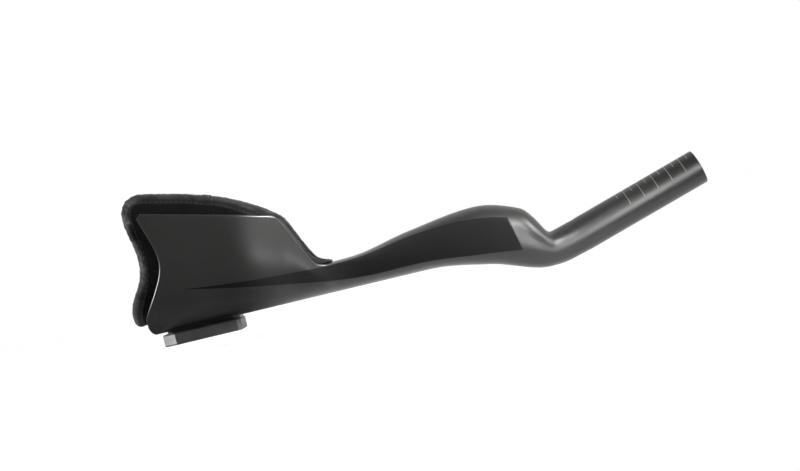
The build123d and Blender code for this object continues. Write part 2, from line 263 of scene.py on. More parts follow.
def makeLamps(settings):
    for name, s in settings.items():
        lamp = bpy.data.lights.new(name, "AREA")
        lamp.shape = "RECTANGLE"
        lamp.size, lamp.size_y = metres(s["size"])
        lamp.energy = s["watts"]
        lamp.spread = radians(s["spread"])
        back = np.array(s["spot"], float) - np.array(s["aim"], float)
        back /= np.linalg.norm(back)
        right = np.cross((0, 0, 1), back)
        right /= np.linalg.norm(right)
        box = bpy.data.objects.new(name, lamp)
        standAt(box, s["spot"], right, np.cross(back, right), back)
        box.visible_camera = False


bpy.context.scene.view_settings.view_transform = "Standard"
makeCamera(cameraSettings)
makeFloor(stageSettings)
makeRoom(roomSettings)
makeLamps(lampSettings)
print("camera, floor and lamps placed")


# materials: in each settings dictionary, a noise is its waves per metre, its detail and sometimes its
# roughness, a bump is its strength and its height in m, and surface holds plain numbers by the shader's
# socket names. Most of a noise lies inside noiseRange
noiseRange = (0.3, 0.7)


def newMaterial(name, surface):
    material = bpy.data.materials.new(name)
    material.use_nodes = True
    tree = material.node_tree
    shader = tree.nodes["Principled BSDF"]
    for key, value in surface.items():
        shader.inputs[key].default_value = value
    return material, tree, shader


def noiseAt(tree, vector, scale, detail, rough=0.5):
    node = put(tree, "ShaderNodeTexNoise", Scale=scale, Detail=detail, Roughness=rough)
    join(tree, vector, node.inputs["Vector"])
    return node.outputs[0]


def addBump(tree, shader, height, strength, distance):
    bump = put(tree, "ShaderNodeBump", Strength=strength, Distance=distance)
    join(tree, height, bump.inputs["Height"])
    join(tree, bump.outputs[0], shader.inputs["Normal"])


# carbon: fibres that run along the bar, a satin coat with a fine ripple, a plain dart and the tube's
# scale in print. Lengths in mm where nothing else is said
carbonSettings = {
    "dark": (0.0180, 0.0174, 0.0168),
    "light": (0.0230, 0.0223, 0.0216),
    "fibre": (44.0, 1500.0, 1500.0),  # waves per metre along and across the bar
    "fibreNoise": (1.0, 5.0, 0.6),
    "cloudNoise": (38.0, 3.0),
    "peelNoise": (1400.0, 1.0),
    "rough": (0.33, 0.37),
    "surface": {"Specular IOR Level": 0.5},
    "bump": (0.05, 0.00003),
    "dartColor": (0.0012, 0.0012, 0.0013),
    "dartRough": 0.95,
    "dartSpan": (-6.0, 206.0),
    "dartMiddle": [(0.0, 33.0), (0.30, 24.0), (0.50, 20.6), (0.72, 23.4), (0.88, 21.6), (1.0, 17.0)],
    "dartHalf": [(0.0, 0.0), (0.30, 3.2), (0.50, 6.0), (0.72, 9.6), (0.88, 11.4), (1.0, 10.0)],
    "dartTop": 40.0,                  # over every height in the two lines above
    "dartEdge": 0.00008,              # m, half the width of its soft edge
    "dartSlant": 0.22,                # back for each step up, at its front end
    "inkColor": (0.21, 0.21, 0.20),
    "tubeStart": (241.0, 7.15),       # X and Z
    "tubeRise": 16.66,                # degrees
    "tubeLength": 87.7,
    "tubeRadius": 11.1,
    "tickPitch": 5.0,
    "tickHalfWidth": 0.21,
    "tickMiddle": 30.0,               # middle of the scale, back from the tube's end
    "longTicks": (22.0, 0.13),        # half the length they cover, and their low end in radii
    "shortTicks": (27.0, 0.73),
}


# value of a smooth line through points over 0 to 1, in metres
def curveOf(tree, share, points, top):
    node = put(tree, "ShaderNodeFloatCurve")
    curve = node.mapping.curves[0]
    for i, (x, y) in enumerate(points):
        if i < 2:
            curve.points[i].location = (x, y / top)
        else:
            curve.points.new(x, y / top)
    node.mapping.update()
    join(tree, share, node.inputs["Value"])
    return calc(tree, "MULTIPLY", node.outputs[0], top * mm)


def makeCarbon(s):
    material, tree, shader = newMaterial("carbonLaminate", s["surface"])
    where = bodySpot(tree)
    spot = splitUp(tree, where)
    fibres = noiseAt(tree, stretched(tree, where, s["fibre"]), *s["fibreNoise"])
    clouds = noiseAt(tree, where, *s["cloudNoise"])
    peel = noiseAt(tree, where, *s["peelNoise"])
    laminate = blendColor(tree, ramp(tree, fibres, 0, 1, *noiseRange), s["dark"], s["light"])

    # dart: how far a point is from the dart's middle line, against the dart's half height, cut off on a
    # slant
    share = ramp(tree, spot["X"], 0, 1, *metres(s["dartSpan"]))
    middle = curveOf(tree, share, s["dartMiddle"], s["dartTop"])
    half = curveOf(tree, share, s["dartHalf"], s["dartTop"])
    away = calc(tree, "ABSOLUTE", calc(tree, "SUBTRACT", spot["Z"], middle))
    dart = ramp(tree, calc(tree, "SUBTRACT", away, half), 1, 0, -s["dartEdge"], s["dartEdge"])
    slant = calc(tree, "MULTIPLY_ADD", spot["Z"], s["dartSlant"], spot["X"])
    dart = calc(tree, "MULTIPLY", dart, calc(tree, "LESS_THAN", slant, s["dartSpan"][1] * mm))
    printed = blendColor(tree, dart, laminate, s["dartColor"])

    # scale: the distance back from the tube's end is folded to and fro, with long lines at one end of the
    # fold and short ones at the other. Each kind is kept to its length of the tube and to its height
    # above the tube's middle
    rise = radians(s["tubeRise"])
    startX, startZ = s["tubeStart"]
    tubeEnd = startX * cos(rise) + startZ * sin(rise) + s["tubeLength"]
    tubeMiddle = -startX * sin(rise) + startZ * cos(rise)
    back = calc(tree, "SUBTRACT", tubeEnd * mm, lengthAlong(tree, where, (cos(rise), 0, sin(rise))))
    above = calc(tree, "SUBTRACT", lengthAlong(tree, where, (-sin(rise), 0, cos(rise))), tubeMiddle * mm)
    fold = calc(tree, "PINGPONG", back, s["tickPitch"] * mm)
    onLong = calc(tree, "LESS_THAN", fold, s["tickHalfWidth"] * mm)
    onShort = calc(tree, "GREATER_THAN", fold, (s["tickPitch"] - s["tickHalfWidth"]) * mm)
    lines = []
    for on, (reach, height) in ((onLong, s["longTicks"]), (onShort, s["shortTicks"])):
        on = calc(tree, "MULTIPLY", on, calc(tree, "COMPARE", back, s["tickMiddle"] * mm, reach * mm))
        high = calc(tree, "GREATER_THAN", above, s["tubeRadius"] * height * mm)
        lines.append(calc(tree, "MULTIPLY", on, high))
    ticks = calc(tree, "ADD", *lines, clamp=True)
    join(tree, blendColor(tree, ticks, printed, s["inkColor"]), shader.inputs["Base Color"])

    rough = ramp(tree, clouds, *s["rough"], *noiseRange)
    rough = calc(tree, "MAXIMUM", rough, calc(tree, "MULTIPLY", dart, s["dartRough"]))
    join(tree, rough, shader.inputs["Roughness"])
    addBump(tree, shader, peel, *s["bump"])
    return material


# plate: grey anodised aluminium with fine milling lines
plateSettings = {
    "dark": (0.145, 0.145, 0.143),
    "light": (0.190, 0.190, 0.187),
    "lines": (1800.0, 60.0, 60.0),  # waves per metre
    "lineNoise": (1.0, 3.0),
    "blotchNoise": (120.0, 3.0),
    "rough": (0.46, 0.6),
    "surface": {"Metallic": 0.85},
    "bump": (0.12, 0.00003),
}


def makeAnodised(s):
    material, tree, shader = newMaterial("anodisedAluminium", s["surface"])
    where = bodySpot(tree)
    lines = noiseAt(tree, stretched(tree, where, s["lines"]), *s["lineNoise"])
    blotch = noiseAt(tree, where, *s["blotchNoise"])
    color = blendColor(tree, ramp(tree, blotch, 0, 1, *noiseRange), s["dark"], s["light"])
    join(tree, color, shader.inputs["Base Color"])
    join(tree, ramp(tree, lines, *s["rough"], *noiseRange), shader.inputs["Roughness"])
    addBump(tree, shader, lines, *s["bump"])
    return material


# screws: blackened steel, worn lighter in specks
screwSettings = {
    "color": (0.045, 0.045, 0.047),
    "worn": (0.13, 0.13, 0.13),
    "wornSpan": (0.45, 0.75),
    "grainNoise": (900.0, 4.0),
    "rough": (0.3, 0.48),
    "surface": {"Metallic": 0.9},
    "bump": (0.08, 0.00002),
}


def makeScrewSteel(s):
    material, tree, shader = newMaterial("blackSteel", s["surface"])
    grain = noiseAt(tree, bodySpot(tree), *s["grainNoise"])
    color = blendColor(tree, ramp(tree, grain, 0, 1, *s["wornSpan"]), s["color"], s["worn"])
    join(tree, color, shader.inputs["Base Color"])
    join(tree, ramp(tree, grain, *s["rough"], *noiseRange), shader.inputs["Roughness"])
    addBump(tree, shader, grain, *s["bump"])
    return material


# hook tape: rows of small hooks, drawn as dots on a fine cell pattern
hookSettings = {
    "base": (0.010, 0.010, 0.010),
    "tips": (0.030, 0.030, 0.030),
    "tipSpan": (0.15, 0.5),  # from a hook's middle, as a share of a cell
    "hooks": 900.0,          # per metre
    "randomness": 0.35,
    "surface": {"Roughness": 0.62},
    "bump": (0.8, 0.0004),
}


def makeHookTape(s):
    material, tree, shader = newMaterial("hookTape", s["surface"])
    cells = put(tree, "ShaderNodeTexVoronoi", Scale=s["hooks"], Randomness=s["randomness"])
    join(tree, bodySpot(tree), cells.inputs["Vector"])
    tips = ramp(tree, cells.outputs["Distance"], 1, 0, *s["tipSpan"], smooth=True)
    join(tree, blendColor(tree, tips, s["base"], s["tips"]), shader.inputs["Base Color"])
    addBump(tree, shader, tips, *s["bump"])
    return material


def dress(name, material):
    mesh = nodes[name].data
    mesh.materials.clear()
    mesh.materials.append(material)


dress("extension_shell", makeCarbon(carbonSettings))
dress("spacer_plate", makeAnodised(plateSettings))
dress("plate_screws", makeScrewSteel(screwSettings))
hookMaterial = makeHookTape(hookSettings)
for tapeName in ("hook_tape_floor", "hook_tape_left", "hook_tape_right"):
    dress(tapeName, hookMaterial)
print("hard pieces finished")


# pad: a foam sheet bent into the cradle. The sheet is flat cloth in two numbers, x along the bar and s
# the way round from the middle of the floor, and each pair stands for a point of the bent sheet's middle
# surface. Lengths in mm, and pairs are spans of x where nothing else is said
padSettings = {
    "floorLevel": 13.8,
    "rampRise": 14.4,
    "ramp": (45.0, 88.0),
    "cradleHalf": 48.5,
    "neckHalf": 17.0,
    "taper": (30.0, 100.0),
    "wall": 2.4,
    "squareness": 2.8,
    "rimLevel": 78.6,
    "rimSlope": 13.9,           # degrees
    "rimLow": 27.6,
    "rimDrop": (58.0, 80.5),
    "lap": 2.6,                 # how much farther back the rim is read for the pad's edge
    "lapSpan": (50.0, 62.0),
    "proud": [(-30, 12.0), (10, 12.6), (35, 10.8), (50, 6.4), (60, 0.8), (66, 0.3), (76, 2.2), (82, 3.2),
              (85, 2.7), (88, 0.3)],  # x, and how far the pad's edge stands over the rim
    "proudWindow": 1.5,
    "draw": 2.2,                # how much farther ahead the pad's edge is read
    "drawSpan": (50.0, 70.0),
    "turnUnderRim": 1.2,        # where the walls turn upright
    "turnOverFoam": 2.0,
    "turnBlend": 3.0,
    "thick": 9.0,
    "toeThick": 0.7,
    "gap": 1.7,
    "toeGap": -0.25,
    "thin": (48.0, 80.0),
    "squareEdge": 3.2,
    "crown": 0.12,              # share of the thickness
    "crownSpan": (-1.0, 6.0),   # in from the binding's hem
    "nip": 0.9,                 # depth of the dent under the stitches
    "nipIn": 4.6,
    "nipWide": 1.25,
    "bindingWidth": 5.6,
    "bindingThick": 0.5,
    "bindingToe": 0.25,
    "bindingThin": (66.0, 84.0),
    "middle": (12.0, 0.0),      # x and s
    "edgeRings": (0.15, 0.4, 0.8, 1.4, 2.1, 2.9, 3.7, 4.5, 5.3, 6.1, 7.0, 8.2, 9.8, 12.0),
    "ringDepth": 60.0,          # from the edge to the middle, as edgeRings counts it
    "innerRings": 34,
    "lastRing": 0.985,          # share of the way to the middle
}


def ease(value, span):
    share = np.clip((value - span[0]) / (span[1] - span[0]), 0, 1)
    return share * share * (3 - 2 * share)


def between(one, other, share):
    return one + (other - one) * share


# the larger of two values, rounded off over about the length of blend where they cross
def upperOf(one, other, blend):
    return (one + other + np.sqrt((one - other) ** 2 + blend * blend)) / 2


# value of a line through points, with each step eased by averaging the line over a short window
def softLine(points, value, window, samples=9):
    px, py = np.array(points, float).T
    shifts = np.linspace(-window, window, samples)
    return np.mean([np.interp(value + d, px, py) for d in shifts], axis=0)


# at x: half the width between the walls' middle surfaces, the height above which the walls are upright,
# the heights of the floor's middle surface and of the pad's edge, and the foam's thickness
def padLevels(x, s):
    def rimAt(x):
        line = s["rimLevel"] - tan(radians(s["rimSlope"])) * x
        return between(line, s["rimLow"], ease(x, s["rimDrop"]))

    half = between(s["cradleHalf"], s["neckHalf"], ease(x, s["taper"]))
    floor = s["floorLevel"] + s["rampRise"] * ease(x, s["ramp"])
    thick = between(s["thick"], s["toeThick"], ease(x, s["thin"]))
    gap = between(s["gap"], s["toeGap"], ease(x, s["thin"]))
    lapped = x - s["lap"] * ease(x, s["lapSpan"])
    top = rimAt(lapped) + softLine(s["proud"], x, s["proudWindow"])
    turn = upperOf(rimAt(x) - s["turnUnderRim"], floor + gap + thick + s["turnOverFoam"], s["turnBlend"])
    return half - s["wall"] - gap - thick / 2, turn, floor + gap + thick / 2, top, thick


# table of the bent sheet: for rows of x, the section is half a squared-off oval below the turn and
# upright above it, read at even distances s from the middle of the floor
sheetSettings = {
    "rows": (-46.0, 92.0, 185),    # first x, last x and how many
    "columns": (0.0, 135.0, 271),  # first s, last s and how many
    "angles": 181,
    "upright": 150.0,              # height of the walls over the turn, more than is used
    "step": 0.6,                   # either way, for the sheet's slopes
    "held": 1.001,                 # rows or columns short of the end, so that a next one can be read
}


class Sheet:
    def __init__(self, settings, pad):
        self.step = settings["step"]
        self.held = settings["held"]
        self.x = np.linspace(*settings["rows"])
        self.s = np.linspace(*settings["columns"])
        half, turn, low, top, self.thick = padLevels(self.x, pad)
        angle = np.linspace(pi / 2, 0, settings["angles"])
        y = half[:, None] * np.cos(angle) ** (2 / pad["squareness"])
        z = turn[:, None] - (turn - low)[:, None] * np.sin(angle) ** (2 / pad["squareness"])
        y = np.hstack([y, half[:, None]])
        z = np.hstack([z, turn[:, None] + settings["upright"]])
        run = np.hypot(np.diff(y, axis=1), np.diff(z, axis=1)).cumsum(axis=1)
        run = np.hstack([np.zeros((len(half), 1)), run])
        self.y = np.array([np.interp(self.s, r, v) for r, v in zip(run, y)])
        self.z = np.array([np.interp(self.s, r, v) for r, v in zip(run, z)])
        # the wall runs in towards the toe, so the edge is read a little ahead to keep the outer face's
        # edge in place
        slant = np.gradient(half, self.x)
        ahead = -slant / np.hypot(1, slant) * self.thick / 2 + pad["draw"] * ease(self.x, pad["drawSpan"])
        self.edge = run[:, -2] + (np.interp(self.x + ahead, self.x, top) - turn)

    # reads a table at x and distance s, in straight lines between its four nearest numbers
    def read(self, table, x, s):
        i = np.clip((x - self.x[0]) / (self.x[1] - self.x[0]), 0, len(self.x) - self.held)
        j = np.clip(s / (self.s[1] - self.s[0]), 0, len(self.s) - self.held)
        a, b = i.astype(int), j.astype(int)
        u, v = i - a, j - b
        low = table[a, b] * (1 - u) + table[a + 1, b] * u
        high = table[a, b + 1] * (1 - u) + table[a + 1, b + 1] * u
        return low * (1 - v) + high * v

    def point(self, x, s):
        side = np.where(s < 0, -1.0, 1.0)
        return np.stack([x, side * self.read(self.y, x, abs(s)), self.read(self.z, x, abs(s))], axis=-1)

    # point, the way across the sheet that faces the forearm, and the sheet's thickness there
    def frame(self, x, s):
        along = self.point(x + self.step, s) - self.point(x - self.step, s)
        across = self.point(x, s + self.step) - self.point(x, s - self.step)
        inward = np.cross(along, across)
        inward /= np.linalg.norm(inward, axis=-1, keepdims=True)
        return self.point(x, s), inward, np.interp(x, self.x, self.thick)

    def edgeAt(self, x):
        return np.interp(x, self.x, self.edge)


sheet = Sheet(sheetSettings, padSettings)


# outline of the flat cloth as a closed loop: up the left of the rear edge, forward along the top, round
# the toe and back the other way. Corners are softened by averaging the loop over a few millimetres of its
# own length
outlineSettings = {
    "rear": [(0, -41.2), (18, -41.2), (21, -40.9), (25, -40.0), (29.5, -38.2), (34, -35.4), (38, -32.5),
             (45, -28.4), (52, -26.6), (58, -26.3), (65, -27.1), (71, -28.5), (76, -29.6), (82, -30.2),
             (110, -30.2)],  # z and x
    "rearRow": -32.0,        # x at which the rear edge's heights are read
    "rearWindow": 2.0,
    "toe": 86.4,
    "cornerRadius": 14.5,
    "cornerSoft": 3.0,
    "softReach": 60,         # fine steps either way
    "sideSteps": 400,
    "loopSteps": 900,
    "finer": 4,              # fine steps in each step of the loop
}


# gives the loop, the way in from it, how far round each of its points is, and its length
def padOutline(s):
    steps, finer, corner = s["sideSteps"], s["finer"], s["cornerRadius"]
    reach = np.linspace(0, 1, steps)
    topX = between(s["rear"][-1][1], s["toe"], reach)
    into = np.clip(corner - (topX - topX[0]), 0, corner)
    topS = sheet.edgeAt(topX) - (corner - np.sqrt(corner ** 2 - into ** 2))
    upS = topS[0] * reach
    rearZ = sheet.read(sheet.z, np.full(steps, s["rearRow"]), upS)
    rearX = softLine(s["rear"], rearZ, s["rearWindow"])
    toeS = topS[-1] * reach[::-1]
    half = np.vstack([
        np.column_stack([rearX, upS]),
        np.column_stack([topX, topS])[1:],
        np.column_stack([np.full(steps, s["toe"]), toeS])[1:],
    ])
    loop = np.vstack([half, (half * (1, -1))[::-1][1:-1]])
    loop = np.vstack([loop, loop[:1]])
    run = np.r_[0, np.hypot(*np.diff(loop, axis=0).T).cumsum()]
    even = np.linspace(0, run[-1], s["loopSteps"] * finer + 1)[:-1]
    loop = np.column_stack([np.interp(even, run, loop[:, i]) for i in range(2)])
    pitch = run[-1] / len(even)
    shifts = np.arange(-s["softReach"], s["softReach"] + 1)
    weight = np.exp(-0.5 * (shifts * pitch / s["cornerSoft"]) ** 2)
    weight /= weight.sum()
    soft = sum(w * np.roll(loop, -k, axis=0) for k, w in zip(shifts, weight))[::finer]
    ahead = np.roll(soft, -1, axis=0) - np.roll(soft, 1, axis=0)
    inward = np.column_stack([ahead[:, 1], -ahead[:, 0]])
    inward /= np.linalg.norm(inward, axis=1, keepdims=True)
    length = np.hypot(*(np.roll(soft, -1, axis=0) - soft).T)
    return soft, inward, np.r_[0, length.cumsum()[:-1]], length.sum()


outline, outlineIn, outlineRun, outlineLength = padOutline(outlineSettings)
print("pad outline", round(outlineLength), "mm round")


# smooth object from points in mm, lists of corner numbers and, if the cloth has a pattern, its flat
# millimetres
def meshPiece(name, points, faces, uv=None):
    mesh = bpy.data.meshes.new(name)
    mesh.from_pydata((points * mm).tolist(), [], faces)
    mesh.polygons.foreach_set("use_smooth", np.ones(len(faces), bool))
    if uv is not None:
        layer = mesh.uv_layers.new(name="cloth")
        corner = np.empty(len(mesh.loops), np.int32)
        mesh.loops.foreach_get("vertex_index", corner)
        layer.data.foreach_set("uv", (uv * mm)[corner].astype(np.float32).ravel())
    mesh.update()
    piece = bpy.data.objects.new(name, mesh)
    bpy.context.scene.collection.objects.link(piece)
    return piece


# four-cornered faces between each ring of points and the next, all rings closed on themselves
def ringQuads(number, after):
    corners = [number, np.roll(number, -1, axis=1), np.roll(after, -1, axis=1), after]
    return np.stack(corners, axis=-1).reshape(-1, 4)


# half the foam's thickness at a distance in from the edge: a squared-off half round, nipped in by the
# stitching under the binding, then a full crown
def foamHalf(distance, thick, s):
    short = 1 - np.minimum(distance / (thick / 2), 1)
    bullnose = (1 - short ** s["squareEdge"]) ** (1 / s["squareEdge"])
    swell = ease(distance, [s["bindingWidth"] + past for past in s["crownSpan"]])
    nipped = np.exp(-((distance - s["nipIn"]) / s["nipWide"]) ** 2)
    nip = s["nip"] * nipped * np.minimum(thick / s["thick"], 1)
    return thick / 2 * bullnose * (1 - s["crown"] + s["crown"] * swell) - nip


# unevenness of the cloth in mm, from slow waves and short puckers. The slow waves are a sine of
# x times a cosine of s, plus a sine that runs on a slant, and begin inside the binding. The puckers are a
# sine along the edge whose pitch sways and whose height comes and goes, and fade away from the binding
waveSettings = {
    "slow": 0.16,
    "slowX": 9.0,
    "slowS": 13.0,
    "slowShift": 1.3,
    "slant": 0.10,
    "slantX": 21.0,
    "slantS": 6.5,
    "slowFrom": (3.0, 14.0),  # in from the edge
    "pucker": 0.17,
    "puckerPitch": 5.3,
    "puckerSway": 1.2,
    "swayRun": 17.0,
    "heightRun": 31.0,
    "puckerIn": 6.5,
    "puckerWide": 3.2,
}


def clothWaves(w, x, s, run, distance, side):
    slow = w["slow"] * np.sin(x / w["slowX"] + w["slowShift"] * side) * np.cos(s / w["slowS"])
    slow = slow + w["slant"] * np.sin(s / w["slantS"] + x / w["slantX"])
    sway = w["puckerSway"] * np.sin(run / w["swayRun"])
    pucker = np.sin(run * 2 * pi / w["puckerPitch"] + sway) * np.sin(run / w["heightRun"] + side)
    fade = np.exp(-((distance - w["puckerIn"]) / w["puckerWide"]) ** 2)
    return slow * ease(distance, w["slowFrom"]) + w["pucker"] * pucker * fade


# pad body: rings of the outline drawn in towards a middle point, once on the forearm side and once on the
# shell side, each point half the foam's thickness off the bent sheet, plus the cloth's waves
def makePad(s, waves):
    middle = np.array(s["middle"])
    depth = ((middle - outline) * outlineIn).sum(axis=1).max(keepdims=True)
    share = np.r_[0, np.array(s["edgeRings"]) / s["ringDepth"]]
    share = np.r_[share, np.linspace(share[-1], s["lastRing"], s["innerRings"])[1:]]
    flat = outline[None] + share[:, None, None] * (middle - outline)[None]
    nearest = np.array([((ring[:, None] - outline[None]) ** 2).sum(axis=-1).argmin(axis=1) for ring in flat])
    distance = abs(((flat - outline[nearest]) * outlineIn[nearest]).sum(axis=-1))
    run = outlineRun[nearest]

    def surface(flat, run, distance, side):
        x, way = flat[..., 0], flat[..., 1]
        core, inward, thick = sheet.frame(x, way)
        half = foamHalf(distance, thick, s)
        uneven = clothWaves(waves, x, way, run, distance, side) * np.minimum(half / 2, 1)
        return core + side * (half + uneven)[..., None] * inward

    inner, outer = [surface(flat, run, distance, side) for side in (1.0, -1.0)]
    poles = [surface(middle[None], np.zeros(1), depth, side) for side in (1.0, -1.0)]
    rings = np.concatenate([inner[::-1], outer[1:]])
    flats = np.concatenate([flat[::-1], flat[1:]])
    number = np.arange(rings.shape[0] * rings.shape[1]).reshape(rings.shape[:2])
    first, last = number[0], number[-1]
    firstFan = np.stack([np.roll(first, -1), first, np.full_like(first, number.size)], axis=-1)
    lastFan = np.stack([last, np.roll(last, -1), np.full_like(last, number.size + 1)], axis=-1)
    faces = ringQuads(number[:-1], number[1:]).tolist() + firstFan.tolist() + lastFan.tolist()
    points = np.vstack([rings.reshape(-1, 3), *poles])
    return meshPiece("armPad", points, faces, np.vstack([flats.reshape(-1, 2), middle, middle]))


# binding: a strip folded over the pad's edge, with a thickness of its own, a lapped joint on the right
# side and wrinkles where the upper rear corners draw it in
bindingSettings = {
    "jointX": 26.0,
    "jointFrom": 50.0,            # s, so that it is on the top edge
    "lap": 0.42,
    "lapStart": (0.0, 0.5),       # past the joint
    "lapEnd": (5.5, 6.5),
    "seam": 0.40,
    "seamWide": 0.7,
    "outerSteps": 45,
    "innerSteps": 15,
    "foldPower": 1.6,             # over 1, so that the points crowd at the fold
    "waves": [(0.06, 4.1, 0.0), (0.05, 7.7, 1.0)],  # height, pitch and shift
    "wrinkleX": -24.0,
    "wrinkleWide": 8.0,
    "wrinkleFrom": (56.0, 76.0),  # s
    "wrinkleWaves": 1.2,
    "pucker": 0.30,
    "puckerPitch": 2.7,
    "puckerSway": 1.4,
    "swayRun": 1.9,
    "gatherStart": (1.2, 2.4),    # in from the edge
    "gatherEnd": (3.8, 5.0),
    "hemThinner": 0.75,
    "hemFrom": 0.985,             # share of the way from the fold
    "sunk": 0.15,                 # the strip's inner face, into the foam
    "outStep": 3.0,               # for the way out from the edge
}


# share of the binding's thickness that is left towards the toe
def bindingShare(x, pad):
    return between(1, pad["bindingToe"] / pad["bindingThick"], ease(x, pad["bindingThin"]))


# bend runs over the fold on the outside and back on the inside, from -1 at one hem to 1 at the other.
# Each point is half the foam off the bent sheet, plus the cover, which leans from straight out at the
# edge to across the sheet
def makeBinding(s, pad):
    topEdge = outline[:, 1] < -s["jointFrom"]
    joint = outlineRun[np.where(topEdge, abs(outline[:, 0] - s["jointX"]), np.inf).argmin()]
    past = (outlineRun - joint) % outlineLength
    lap = s["lap"] * ease(past, s["lapStart"]) * (1 - ease(past, s["lapEnd"]))
    lap = lap - s["seam"] * np.exp(-(np.minimum(past, outlineLength - past) / s["seamWide"]) ** 2)

    bend = np.r_[np.linspace(-1, 1, s["outerSteps"]), np.linspace(1, -1, s["innerSteps"])]
    outside = np.arange(len(bend)) < s["outerSteps"]
    distance = np.tile(pad["bindingWidth"] * abs(bend) ** s["foldPower"], (len(outline), 1))
    sign = np.sign(bend)
    flat = outline[:, None] + distance[..., None] * outlineIn[:, None]
    middle, inward, padThick = sheet.frame(flat[..., 0], flat[..., 1])
    half = foamHalf(distance, padThick, pad)

    wrinkled = np.exp(-((outline[:, 0] - s["wrinkleX"]) / s["wrinkleWide"]) ** 2)
    wrinkled = wrinkled * ease(abs(outline[:, 1]), s["wrinkleFrom"])
    wave = sum(height * np.sin(outlineRun * 2 * pi / pitch + shift) for height, pitch, shift in s["waves"])
    wave = wave * (1 + s["wrinkleWaves"] * wrinkled)
    sway = s["puckerSway"] * np.sin(outlineRun / s["swayRun"])
    pucker = s["pucker"] * wrinkled * np.sin(outlineRun * 2 * pi / s["puckerPitch"] + sway)
    gathered = ease(distance, s["gatherStart"]) * (1 - ease(distance, s["gatherEnd"]))
    cover = (pad["bindingThick"] + lap + wave)[:, None] + pucker[:, None] * gathered
    cover = cover * bindingShare(outline[:, 0], pad)[:, None]
    hem = 1 - s["hemThinner"] * (abs(bend) > s["hemFrom"])
    cover = np.where(outside, cover * hem, -s["sunk"])

    rim = sheet.frame(outline[:, 0], outline[:, 1])[0]
    beyond = outline - s["outStep"] * outlineIn
    outward = sheet.frame(beyond[:, 0], beyond[:, 1])[0] - rim
    outward /= np.linalg.norm(outward, axis=-1, keepdims=True)
    edgeOut = np.sqrt(np.clip(1 - distance / (padThick / 2), 0, 1))
    lean = np.sqrt(np.clip(1 - edgeOut ** 2, 0, 1))
    points = middle + (sign * (half + cover * lean))[..., None] * inward
    points = points + (cover * edgeOut)[..., None] * outward[:, None]

    uv = np.stack([np.broadcast_to(outlineRun[:, None], distance.shape), sign * distance], axis=-1)
    number = np.arange(distance.size).reshape(distance.shape)
    faces = ringQuads(number, np.roll(number, -1, axis=0)).tolist()
    return meshPiece("padBinding", points.reshape(-1, 3), faces, uv.reshape(-1, 2))


# stitches: a row of short rounded threads along both hems of the binding, sunk where they nip the pad in
stitchSettings = {
    "pitch": 3.1,
    "length": 2.2,
    "radius": 0.24,
    "around": 8,
    "along": (-1, -0.8, -0.35, 0.35, 0.8, 1),          # share of half the length
    "girth": (0.15, 0.75, 1, 1, 0.75, 0.15),           # share of the radius
    "rise": (-0.30, -0.06, 0.10, 0.10, -0.06, -0.30),  # over the binding
}


# each thread is rings round a core line that lies along the hem
def makeStitches(s, pad):
    count = int(outlineLength / s["pitch"])
    at = (np.arange(count) + 0.5) * outlineLength / count
    loopRun = np.r_[outlineRun, outlineLength]

    def readLoop(loop):
        closed = np.vstack([loop, loop[:1]])
        return np.column_stack([np.interp(at, loopRun, closed[:, i]) for i in range(2)])

    way = readLoop(outlineIn)
    way /= np.linalg.norm(way, axis=1, keepdims=True)
    along = np.column_stack([-way[:, 1], way[:, 0]])
    turn = np.linspace(0, 2 * pi, s["around"] + 1)[:-1, None]
    length = np.array(s["along"]) * s["length"] / 2
    girth = np.array(s["girth"]) * s["radius"]
    flat = readLoop(outline)[:, None] + pad["nipIn"] * way[:, None] + length[:, None] * along[:, None]
    middle, inward, thick = sheet.frame(flat[..., 0], flat[..., 1])
    height = foamHalf(np.full(thick.shape, pad["nipIn"]), thick, pad)
    height = height + pad["bindingThick"] * bindingShare(flat[..., 0], pad) + np.array(s["rise"])
    rows = []
    for side in (1.0, -1.0):
        core = middle + (side * height)[..., None] * inward
        ahead = core[:, -1] - core[:, 0]
        ahead /= np.linalg.norm(ahead, axis=-1, keepdims=True)
        cross = np.cross(inward, ahead[:, None])
        circle = np.cos(turn) * cross[:, :, None] + side * np.sin(turn) * inward[:, :, None]
        ring = core[:, :, None] + girth[:, None, None] * circle
        rows.append(ring if side > 0 else ring[:, :, ::-1])
    points = np.concatenate(rows)
    number = np.arange(len(length) * len(turn)).reshape(len(length), len(turn))
    firstOf = (np.arange(2 * count) * number.size)[:, None, None]
    quads = ringQuads(number[:-1], number[1:]) + firstOf
    ends = np.stack([number[0, ::-1], number[-1]]) + firstOf
    faces = quads.reshape(-1, 4).tolist() + ends.reshape(-1, len(turn)).tolist()
    return meshPiece("padStitches", points.reshape(-1, 3), faces)


# knitted cover: loops in rows, worked out from the cloth's own millimetres, with lint in patches and a
# soft sheen
knitSettings = {
    "base": (0.0018, 0.0018, 0.0019),
    "lint": (0.034, 0.034, 0.035),
    "loopWide": 1.15,  # mm
    "loopTall": 0.95,  # mm
    "sway": 1.1,
    "loopShade": 0.12,
    "lintNoise": (900.0, 4.0, 0.65),
    "lintSpan": (0.54, 0.72),
    "lintHeight": 0.6,
    "patchNoise": (60.0, 2.0),
    "patch": (0.3, 1),
    "patchSpan": (0.35, 0.65),
    "surface": {"Roughness": 0.85, "Specular IOR Level": 0.12, "Sheen Weight": 0.02, "Sheen Roughness": 0.4},
    "bump": (0.55, 0.00018),
}


